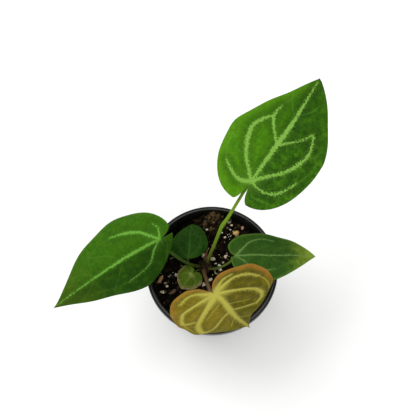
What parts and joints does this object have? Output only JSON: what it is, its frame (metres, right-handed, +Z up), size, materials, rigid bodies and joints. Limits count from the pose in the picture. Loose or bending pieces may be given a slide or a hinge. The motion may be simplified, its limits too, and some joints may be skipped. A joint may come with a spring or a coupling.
{
  "type": "potted anthurium magnificum",
  "caption": "Young velvet-leaved aroid with heart-shaped pale-veined blades on angled stalks, in a round nursery pot of bark mix that stands on its flat base.",
  "frame": {"origin": "middle of the pot's flat underside", "axes": "+Z up, +X to the right and +Y away from the viewer as pictured"},
  "size_m": [0.2089, 0.1914, 0.1871],
  "materials": {
    "pot_black": "satin",
    "bark_mix": "matte",
    "crown_brown": "matte",
    "sheath_brown": "matte",
    "stalk_green": "satin",
    "stalk_brown": "satin",
    "blade_green": "satin",
    "blade_dark": "satin",
    "blade_bronze": "satin"
  },
  "bodies": {
    "root": {"pot": "pot_black", "soil": "bark_mix", "crown_and_roots": "crown_brown", "dried_sheath": "sheath_brown", "stalk_tall": "stalk_green", "stalk_left": "stalk_green", "stalk_right": "stalk_green", "stalk_bronze": "stalk_brown", "stalk_round": "stalk_green", "stalk_small": "stalk_green", "blade_tall": "blade_green", "blade_left": "blade_green", "blade_right": "blade_dark", "blade_bronze": "blade_bronze", "blade_round": "blade_dark", "blade_small": "blade_green"}
  },
  "joints": []
}
